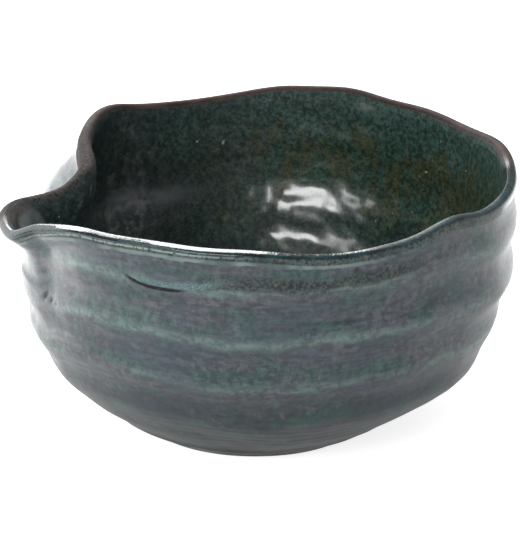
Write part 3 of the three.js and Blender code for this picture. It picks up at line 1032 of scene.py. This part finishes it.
def inside_colour(tree):
    """Black-green by the spout, and on the other side teal that ran down from the rim over mottled olive,
    with dark green below. A painted grey reflection lies on the wall beyond the spout, and painted light
    greys the spout's channel. Under the lip it meets the rim's own colour in a fine uneven edge."""
    broad = clouds(place(tree), 24 * mm, 3, 0.55)
    blotches = clouds(place(tree), 1.7 * mm, 3, 0.7)
    patches = clouds(place(tree, 0.6), 8 * mm, 3, 0.6)
    speckle = clouds(place(tree), 0.9 * mm, 2, 0.6)
    runs = clouds(place(tree, 0.35), 3.2 * mm)
    shifted = math_of("ADD", coordinates(tree)[0], around_half(broad, 90 * mm))
    to_right = ramp(shifted, -25 * mm, 30 * mm)
    from_crown = kept_value(tree, "from_crown")
    run_down = math_of("ADD", from_crown, around_half(runs, -26 * mm))
    dark = tones(blotches, 0.36, 0.64, (0.008, 0.014, 0.014), (0.026, 0.04, 0.04))
    olive = tones(blotches, 0.38, 0.6, (0.013, 0.026, 0.015), (0.05, 0.056, 0.024))
    teal = tones(blotches, 0.4, 0.6, (0.014, 0.029, 0.024), (0.036, 0.08, 0.067))
    green = tones(blotches, 0.4, 0.6, (0.009, 0.022, 0.017), (0.026, 0.068, 0.048))
    mottled = tones(patches, 0.4, 0.58, green, olive)
    mottled = tones(run_down, 17 * mm, 11 * mm, mottled, teal)
    deep = tones(patches, 0.42, 0.6, dark, green)
    mottled = tones(run_down, 32 * mm, 48 * mm, mottled, deep)
    pinholes = ramp(clouds(place(tree), 1.9 * mm, 0), 0.84, 0.86)
    # Painted reflection: a soft grey veil on the wall beyond the spout.
    pool = share_of(kept_value(tree, "painted_veil"), ramp(patches, 0.34, 0.5, 0.3, 0.9))
    # Painted light: the upper part of the spout's channel is grey where light falls into it.
    lit_spout_channel = share_of(kept_value(tree, "spout"), ramp(from_crown, 15 * mm, 10 * mm))
    grey = tones(patches, 0.4, 0.6, (0.12, 0.134, 0.136), (0.165, 0.18, 0.18))
    edge_place = math_of("ADD", from_crown, around_half(speckle, 1.2 * mm))
    edge_share = ramp(edge_place, 2.7 * mm, 2 * mm)
    spout_share = share_of(kept_value(tree, "spout"), ramp(edge_place, 7.5 * mm, 5.5 * mm))
    return layers(
        dark,
        (to_right, mottled),
        (share_of(ramp(speckle, 0.56, 0.68), 0.3), (0.06, 0.085, 0.065)),
        (share_of(ramp(speckle, 0.5, 0.36), 0.6), (0.005, 0.011, 0.009)),
        (pinholes, (0.2, 0.2, 0.14)),
        (pool, (0.12, 0.125, 0.138)),
        (lit_spout_channel, grey),
        (math_of("MAXIMUM", edge_share, spout_share), rim_colour(tree)),
    )


inside_glaze, tree, shader = new_material("inside_glaze")
put(inside_colour(tree), shader["Base Color"])
put(0.4, shader["Roughness"])
put(0.25, shader["Specular IOR Level"])
put(1.0, shader["Coat Weight"])
put(0.14, shader["Coat Roughness"])
put(1.5, shader["Coat IOR"])
hills = bump(clouds(place(tree), 4.5 * mm, 2, 0.6), 0.32 * mm)
put(bump(clouds(place(tree), 1.4 * mm), 0.07 * mm, hills), shader["Normal"])
add_piece("inside_coat", inside_mesh, "inside_glaze", inside_glaze)

# Rim glaze: iron brown at the back and nearly black in front, thin over the lip where the coats meet.
# It is glossy, and the lip under it is a little uneven from the fingers.
rim_outside = rows(band_foot, spring_height, 9)
rim_swings = rows(0, np.pi, 32)
rim_inside = rows(spring_height, band_foot, 9)


def rim_rings(depth):
    """Rows over the lip at a depth: up the outside, over the crown and down the inside."""
    return np.concatenate([
        outside_wall(turns, rim_outside, depth),
        lip(turns, rim_swings, depth)[1:-1],
        inside_wall(turns, rim_inside, depth),
    ])


rim_face = rim_rings(face_depth)
rim_back = rim_rings(face_depth + coat_thickness)[::-1]
rim_length = section_length(rim_face)
from_crown = rim_length - band_reach - np.pi / 2 * half_lip
rim_count = len(rim_face)
rim_mesh = skin_mesh(
    "rim_coat", np.concatenate([rim_face, rim_back]),
    sharp=(0, rim_count - 1, rim_count, 2 * rim_count - 1),
    **inside_values(both(from_crown, from_crown[::-1]), 0 * turns),
)
rim_glaze, tree, shader = new_material("rim_glaze")
past_crown = ramp(kept_value(tree, "from_crown"), 0.3 * mm, 0.8 * mm)
put(blend(past_crown, rim_colour(tree), inside_colour(tree)), shader["Base Color"])
farther_side = math_of("SUBTRACT", 0.75, kept_value(tree, "nearer"))
dull = math_of("MAXIMUM", farther_side, kept_value(tree, "pinched"))
along = coordinates(tree)[0]
right_end = share_of(ramp(along, 8 * mm, 20 * mm), ramp(along, 66 * mm, 60 * mm), 0.45)
dull = math_of("MAXIMUM", dull, right_end)
put(ramp(dull, 0, 1, 0.14, 0.9), shader["Roughness"])
put(bump(clouds(place(tree), 1.6 * mm, 2, 0.6), 0.06 * mm), shader["Normal"])
add_piece("rim_coat", rim_mesh, "rim_glaze", rim_glaze)

# Floor, lamps and surroundings: a pale table, soft boxes, and a white room with a dimmer ceiling.
# The table and the room look white to the camera. In reflections the table glows dim in front and bright
# behind and to the left, a painted reflection, and the room is dimmer overhead and in front. The table keeps
# the bowl's shadow.
floor_reach = 6.0
floor_gap = 0.02 * mm
floor_mesh = bpy.data.meshes.new("table")
floor_mesh.from_pydata(
    [(x * floor_reach, y * floor_reach, -floor_gap) for x, y in ((-1, -1), (1, -1), (1, 1), (-1, 1))],
    [], [(0, 1, 2, 3)],
)
floor = new_object("table", floor_mesh)


def lit_for(tree, light, camera, glossy):
    """A strength for the light's own rays, another for the camera's and those through clear things, and a
    third for rays from glossy surfaces."""
    path = tree.nodes.new("ShaderNodeLightPath")
    direct = math_of("MAXIMUM", path.outputs["Is Camera Ray"], path.outputs["Is Transmission Ray"])
    strength = math_of("ADD", light, share_of(direct, camera - light))
    on_gloss = share_of(path.outputs["Is Glossy Ray"], math_of("SUBTRACT", glossy, light))
    return math_of("ADD", strength, on_gloss)


table_top, tree, shader = new_material("table_top")
put((0.6, 0.6, 0.6), shader["Base Color"])
put(0.9, shader["Roughness"])
put(0.1, shader["Specular IOR Level"])
put((1, 1, 1), shader["Emission Color"])
along, across, _ = coordinates(tree)
# Painted reflection: for glossy rays the table glows dim in front and bright behind and to the left.
farther = ramp(across, 0, 90 * mm, 0.16, 1.2)
leftward = math_of("SUBTRACT", across, share_of(along, 0.8))
farther = math_of("MAXIMUM", farther, ramp(leftward, 105 * mm, 165 * mm, 0.2, 1.7))
put(lit_for(tree, 0.0, 0.8, farther), shader["Emission Strength"])
floor_mesh.materials.append(table_top)

room = bpy.data.worlds.new("room")
bpy.context.scene.world = room
room.use_nodes = True
tree = room.node_tree
background = tree.nodes["Background"]
put((1, 1, 1), background.inputs["Color"])
heading = tree.nodes.new("ShaderNodeSeparateXYZ")
put(tree.nodes.new("ShaderNodeTexCoord").outputs["Generated"], heading.inputs[0])
below_ceiling = ramp(heading.outputs[2], 0.02, 0.25, 1.05, 0.25)
away_from_front = ramp(heading.outputs[1], -0.8, -0.2, 0.4, 1.0)
reflected = share_of(below_ceiling, away_from_front)
put(lit_for(tree, 0.54, 1.0, reflected), background.inputs["Strength"])


def soft_box(name, azimuth, elevation, distance, width, height, power):
    """A soft rectangular lamp that stands round the bowl."""
    lamp = bpy.data.lights.new(name, "AREA")
    lamp.shape = "RECTANGLE"
    lamp.size = width
    lamp.size_y = height
    lamp.energy = power
    stand_round(name, lamp, bowl_middle, azimuth, elevation, distance)


# Turn and height in degrees from the front and the table, distance, width and height in metres, and watts.
soft_box("side_box", -38, 24, 0.8, 0.34, 0.15, 2.8)
soft_box("side_box_edge", -58, 26, 0.8, 0.22, 0.12, 0.45)
soft_box("back_strip", 170, 45, 0.8, 0.24, 0.32, 3.3)
soft_box("back_strip_left", 192, 30, 0.8, 0.3, 0.24, 2.7)
soft_box("left_panel", -145, 14, 1.2, 1.1, 0.6, 4.2)
soft_box("left_fill", -100, 62, 1.2, 0.7, 0.5, 2.8)
soft_box("right_fill", 95, 50, 1.2, 0.7, 0.5, 1.2)

bpy.context.scene.view_settings.view_transform = "Standard"
bpy.context.view_layer.update()
